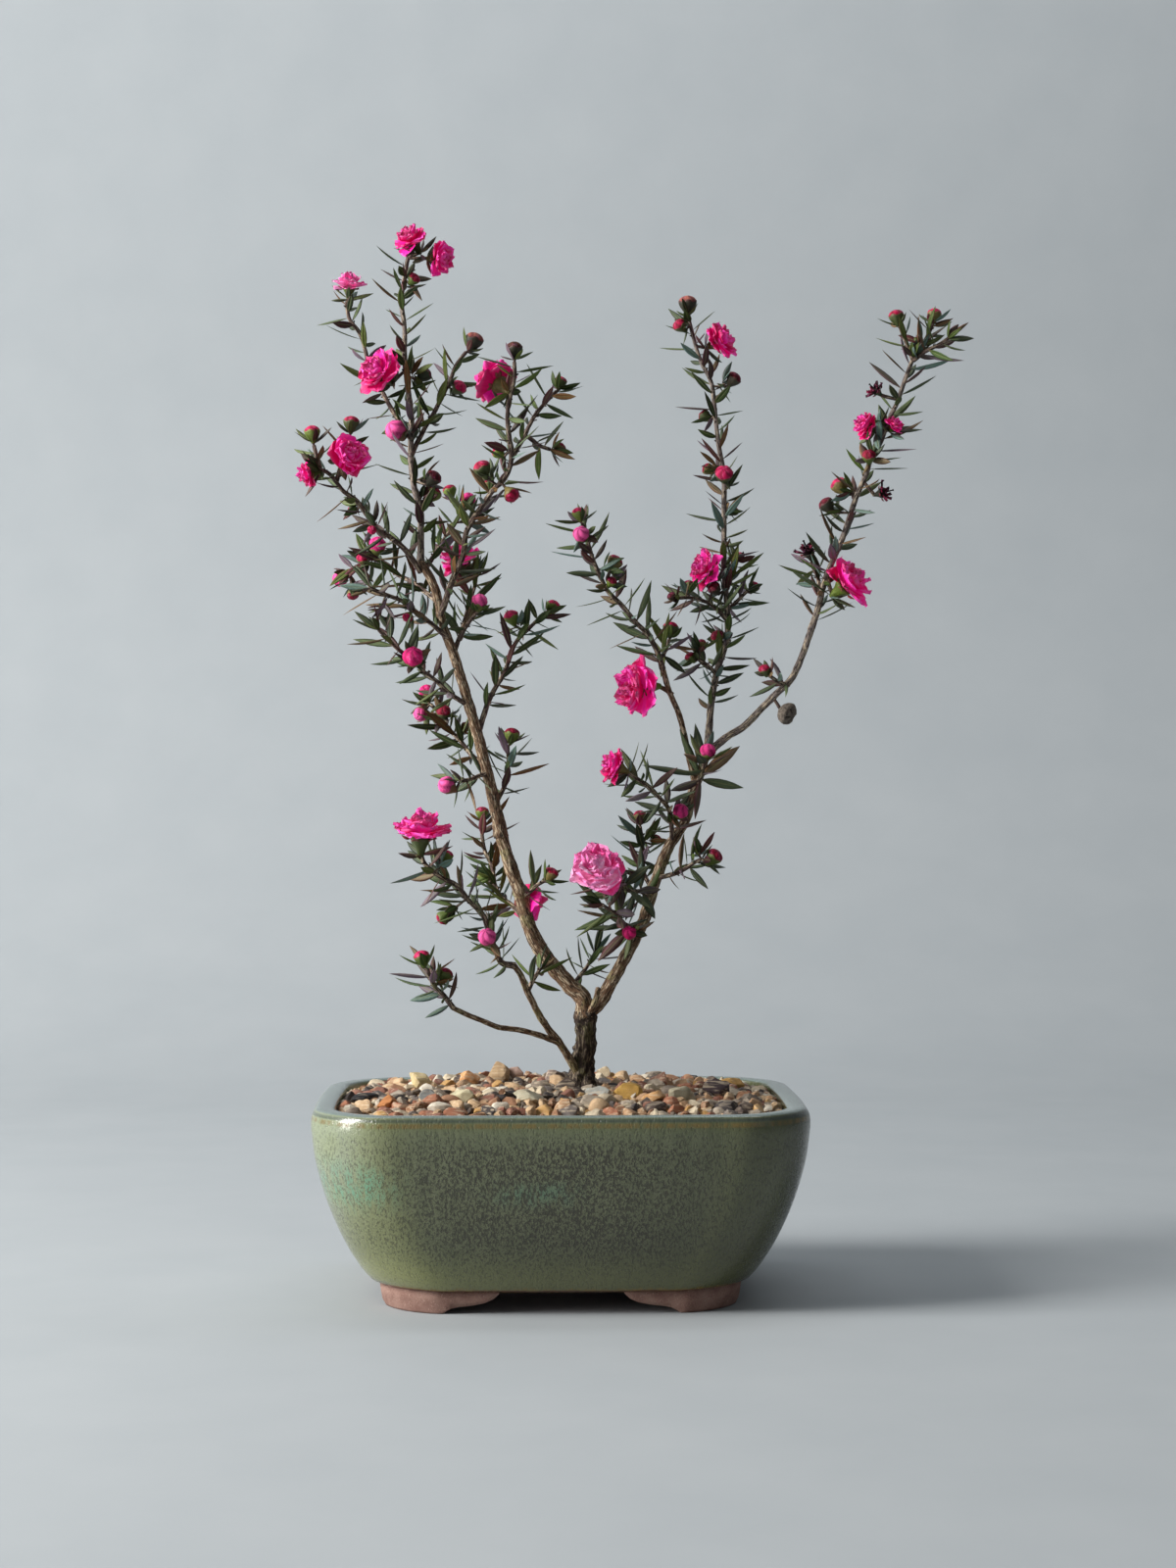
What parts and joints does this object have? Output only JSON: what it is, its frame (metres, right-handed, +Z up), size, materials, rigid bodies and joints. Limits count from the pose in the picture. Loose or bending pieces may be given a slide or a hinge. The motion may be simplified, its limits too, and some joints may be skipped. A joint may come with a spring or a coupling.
{
  "type": "flowering tea tree bonsai in a pot",
  "caption": "A small twin-limbed flowering shrub with needle-like leaves and frilly double blooms, grown in a low glazed pot with rounded corners and feet",
  "frame": {"origin": "the middle of the box round plant and pot, on the surface that the feet stand on", "axes": "+X along the long side of the pot, to the right as seen from the front; +Y from the front of the pot to its back; +Z up"},
  "size_m": [0.2064, 0.108, 0.3307],
  "materials": {
    "glazed_pot": "gloss",
    "plastic_mesh": "matte",
    "soil": "matte",
    "gravel": "matte",
    "bark": "matte",
    "foliage": "satin",
    "petals": "matte",
    "pale_petals": "matte",
    "dry_petals": "matte",
    "dry_capsule": "matte"
  },
  "bodies": {
    "root": {"pot": "glazed_pot", "drain_mesh_left": "plastic_mesh", "drain_mesh_right": "plastic_mesh", "soil": "soil", "gravel": "gravel", "tree_wood": "bark", "shoot_left_leader": "foliage", "shoot_left_outer": "foliage", "shoot_left_back": "foliage", "shoot_crown_right": "foliage", "shoot_front_tall": "foliage", "shoot_short_back": "foliage", "shoot_centre_bloom": "foliage", "shoot_right_of_limb": "foliage", "shoot_left_spread": "foliage", "shoot_left_front": "foliage", "shoot_left_low_front": "foliage", "shoot_left_low_back": "foliage", "shoot_pink_bud": "foliage", "shoot_green_bud": "foliage", "shoot_basal_tall": "foliage", "shoot_basal_low": "foliage", "shoot_behind_limb": "foliage", "shoot_limb_bud": "foliage", "shoot_basal_inner": "foliage", "shoot_right_upright": "foliage", "shoot_right_arching": "foliage", "shoot_arching_low": "foliage", "shoot_right_inner": "foliage", "shoot_low_ragged_bloom": "foliage", "shoot_low_right": "foliage", "shoot_low_big_bloom": "foliage", "shoot_low_whorl": "foliage", "shoot_fork_twig": "foliage", "shoot_low_back": "foliage", "shoot_large_leaves": "foliage", "bloom_top_left": "petals", "bloom_top_right": "petals", "bloom_left_pale": "pale_petals", "bloom_leader": "petals", "bloom_outer_front": "petals", "bloom_outer_left": "petals", "bloom_tall_back": "petals", "bloom_centre": "petals", "bloom_basal": "petals", "bloom_limb": "petals", "bloom_low_full": "pale_petals", "bloom_low_ragged": "petals", "bloom_inner_side": "petals", "bloom_upright_left": "petals", "bloom_upright_top": "petals", "bloom_arching_left": "petals", "bloom_arching_half": "petals", "bloom_arching_right": "petals", "spent_flower_high": "dry_petals", "spent_flower_middle": "dry_petals", "spent_flower_low": "dry_petals", "seed_capsule": "dry_capsule"}
  },
  "joints": []
}
